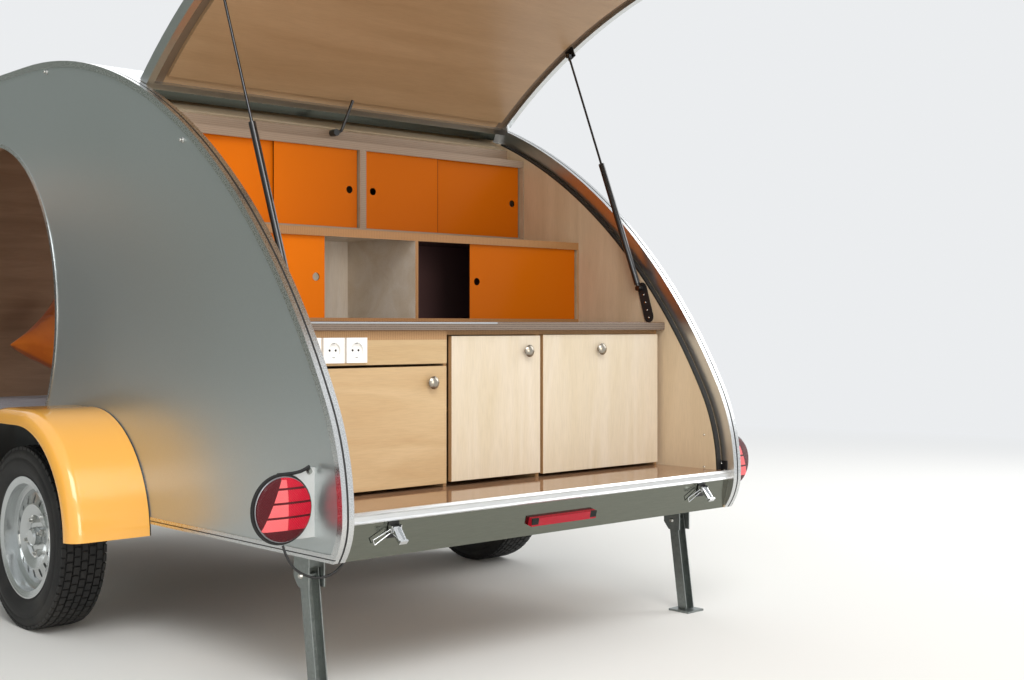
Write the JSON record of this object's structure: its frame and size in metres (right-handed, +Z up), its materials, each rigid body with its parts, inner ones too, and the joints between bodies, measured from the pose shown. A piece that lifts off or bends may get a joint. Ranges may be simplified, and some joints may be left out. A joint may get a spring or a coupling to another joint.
{
  "type": "teardrop trailer",
  "caption": "Small teardrop camping trailer with a rear galley under an open hatch, a sleeping cabin, round side doors, orange fenders and an A-frame drawbar.",
  "frame": {"origin": "middle of the overall width and length, on the ground", "axes": "+Y forward along the drawbar, +Z up, +X to the right-hand side"},
  "size_m": [3.7266, 4.6152, 2.1111],
  "materials": {
    "wall_panel": "grey metallic skin outside, plywood inside",
    "roof_panel": "grey metallic skin outside, plywood inside",
    "hatch_panel": "grey metallic skin outside, birch plywood inside",
    "bright_trim": "satin anodised",
    "apron_sheet": "polished",
    "hinge_profile": "dark anodised",
    "brown_board": "film-faced birch plywood",
    "plywood": "clear varnished birch plywood",
    "pale_plywood": "clear varnished birch plywood",
    "orange_panel": "orange laminate",
    "orange_shell": "glossy gel coat",
    "white_plastic": "white moulded plastic",
    "seal": "rubber bulb seal",
    "black_rubber": "moulded rubber",
    "black_steel": "black enamel",
    "bright_steel": "chromed rod",
    "zinc": "galvanised",
    "red_lens": "red acrylic lens",
    "mattress_cloth": "grey cotton cover",
    "orange_cloth": "orange cotton cover",
    "cable": "black sheath",
    "window": "smoked acrylic",
    "tyre": "road tyre",
    "rim_paint": "silver enamel"
  },
  "bodies": {
    "trailer": {"side_left": "wall_panel", "side_right": "wall_panel", "edge_trim": "bright_trim", "roof_shell": "roof_panel", "floor_deck": "brown_board", "bulkhead": "plywood", "rear_apron": "apron_sheet", "hatch_seal": "seal", "base_cabinet": "plywood", "countertop": "brown_board", "niche_cabinet": "plywood", "upper_cabinet": "plywood", "sockets": "white_plastic", "hinge_rail": "hinge_profile", "wall_brackets": "black_steel", "fenders": "orange_shell", "axle": "zinc", "chassis": "zinc", "drawbar": "zinc", "coupling": "zinc", "jockey_clamp": "zinc", "door_hinges": "bright_trim", "lamp_plates": "zinc", "lamp_rings": "black_rubber", "lamp_lenses": "red_lens", "latches": "bright_trim", "mattress": "mattress_cloth", "cushion": "orange_cloth", "lamp_cable": "cable"},
    "hatch": {"hatch": "hatch_panel", "hatch_frame": "bright_trim"},
    "door_left": {"door_left": "wall_panel", "pane_left": "window"},
    "door_right": {"door_right": "wall_panel", "pane_right": "window"},
    "wheel_left": {"tyre_left": "tyre", "rim_left": "rim_paint"},
    "wheel_right": {"tyre_right": "tyre", "rim_right": "rim_paint"},
    "strut_tube_left": {"strut_tube_left": "black_steel"},
    "strut_tube_right": {"strut_tube_right": "black_steel"},
    "strut_rod_left": {"strut_rod_left": "bright_steel"},
    "strut_rod_right": {"strut_rod_right": "bright_steel"},
    "steady_left": {"steady_left": "zinc"},
    "steady_right": {"steady_right": "zinc"},
    "jockey_leg": {"jockey_leg": "zinc"},
    "jockey_fork": {"jockey_fork": "zinc"},
    "jockey_wheel": {"jockey_wheel": "black_rubber"},
    "galley_lamp": {"galley_lamp": "black_steel"},
    "galley_door_left": {"galley_door_left": "pale_plywood"},
    "galley_door_middle": {"galley_door_middle": "pale_plywood"},
    "galley_door_right": {"galley_door_right": "pale_plywood"},
    "niche_panel_left": {"niche_panel_left": "orange_panel"},
    "niche_panel_right": {"niche_panel_right": "orange_panel"},
    "upper_panel_1": {"upper_panel_1": "orange_panel"},
    "upper_panel_2": {"upper_panel_2": "orange_panel"},
    "upper_panel_3": {"upper_panel_3": "orange_panel"},
    "upper_panel_4": {"upper_panel_4": "orange_panel"}
  },
  "joints": [
    {"name": "hatch_hinge", "type": "hinge", "parent": "trailer", "child": "hatch", "pos_m": [0, -0.78523, 1.62534], "axis": [1, 0, 0], "range_deg": [0, 63]},
    {"name": "strut_pivot_left", "type": "hinge", "parent": "trailer", "child": "strut_tube_left", "pos_m": [-0.68, -1.50244, 1.03], "axis": [1, 0, 0], "range_deg": [-24.51, 0]},
    {"name": "strut_slide_left", "type": "slide", "parent": "strut_tube_left", "child": "strut_rod_left", "axis": [0, 0.3687, 0.9296], "range_m": [-0.3837, 0]},
    {"name": "wheel_spin_left", "type": "hinge", "parent": "trailer", "child": "wheel_left", "pos_m": [-0.885, -0.50244, 0.2735], "axis": [1, 0, 0], "continuous": true},
    {"name": "door_hinge_left", "type": "hinge", "parent": "trailer", "child": "door_left", "pos_m": [-0.771, 0.79356, 0.945], "axis": [0, 0, 1], "range_deg": [0, 95]},
    {"name": "steady_fold_left", "type": "hinge", "parent": "trailer", "child": "steady_left", "pos_m": [-0.706, -1.64244, 0.285], "axis": [1, 0, 0], "range_deg": [0, 100]},
    {"name": "strut_pivot_right", "type": "hinge", "parent": "trailer", "child": "strut_tube_right", "pos_m": [0.68, -1.50244, 1.03], "axis": [1, 0, 0], "range_deg": [-24.51, 0]},
    {"name": "strut_slide_right", "type": "slide", "parent": "strut_tube_right", "child": "strut_rod_right", "axis": [0, 0.3687, 0.9296], "range_m": [-0.3837, 0]},
    {"name": "wheel_spin_right", "type": "hinge", "parent": "trailer", "child": "wheel_right", "pos_m": [0.885, -0.50244, 0.2735], "axis": [1, 0, 0], "continuous": true},
    {"name": "door_hinge_right", "type": "hinge", "parent": "trailer", "child": "door_right", "pos_m": [0.771, 0.79356, 0.945], "axis": [0, 0, -1], "range_deg": [0, 95]},
    {"name": "steady_fold_right", "type": "hinge", "parent": "trailer", "child": "steady_right", "pos_m": [0.706, -1.64244, 0.285], "axis": [1, 0, 0], "range_deg": [0, 100]},
    {"name": "lamp_bend", "type": "hinge", "parent": "trailer", "child": "galley_lamp", "pos_m": [-0.075, -0.86944, 1.532], "axis": [0, 1, 0], "range_deg": [0, 70]},
    {"name": "jockey_lift", "type": "slide", "parent": "trailer", "child": "jockey_leg", "axis": [0, 0, 1], "range_m": [0, 0.2]},
    {"name": "jockey_swivel", "type": "hinge", "parent": "jockey_leg", "child": "jockey_fork", "pos_m": [0.285, 1.88256, 0.216], "axis": [0, 0, 1], "continuous": true},
    {"name": "jockey_spin", "type": "hinge", "parent": "jockey_fork", "child": "jockey_wheel", "pos_m": [0.285, 1.84256, 0.1], "axis": [1, 0, 0], "continuous": true},
    {"name": "galley_hinge_left", "type": "hinge", "parent": "trailer", "child": "galley_door_left", "pos_m": [-0.68, -1.58044, 0.6315], "axis": [0, 0, 1], "range_deg": [-90, 0]},
    {"name": "galley_hinge_middle", "type": "hinge", "parent": "trailer", "child": "galley_door_middle", "pos_m": [-0.188, -1.58044, 0.6745], "axis": [0, 0, 1], "range_deg": [-90, 0]},
    {"name": "galley_hinge_right", "type": "hinge", "parent": "trailer", "child": "galley_door_right", "pos_m": [0.427, -1.58044, 0.467], "axis": [-1, 0, 0], "range_deg": [-90, 0]},
    {"name": "niche_panel_left_slide", "type": "slide", "parent": "trailer", "child": "niche_panel_left", "axis": [1, 0, 0], "range_m": [0, 0.32]},
    {"name": "niche_panel_right_slide", "type": "slide", "parent": "trailer", "child": "niche_panel_right", "axis": [1, 0, 0], "range_m": [-0.21, 0]},
    {"name": "upper_panel_1_slide", "type": "slide", "parent": "trailer", "child": "upper_panel_1", "axis": [1, 0, 0], "range_m": [0, 0.295]},
    {"name": "upper_panel_2_slide", "type": "slide", "parent": "trailer", "child": "upper_panel_2", "axis": [1, 0, 0], "range_m": [-0.335, 0]},
    {"name": "upper_panel_3_slide", "type": "slide", "parent": "trailer", "child": "upper_panel_3", "axis": [1, 0, 0], "range_m": [0, 0.37]},
    {"name": "upper_panel_4_slide", "type": "slide", "parent": "trailer", "child": "upper_panel_4", "axis": [1, 0, 0], "range_m": [-0.285, 0]}
  ],
  "couplings": [
    {"joint": "strut_pivot_left", "follows": "hatch_hinge", "ratio": -0.38592},
    {"joint": "strut_slide_left", "follows": "hatch_hinge", "m_per_rad": -0.34807},
    {"joint": "strut_pivot_right", "follows": "hatch_hinge", "ratio": -0.38592},
    {"joint": "strut_slide_right", "follows": "hatch_hinge", "m_per_rad": -0.34807},
    {"joint": "lamp_bend", "follows": "hatch_hinge", "ratio": 1.0794}
  ]
}
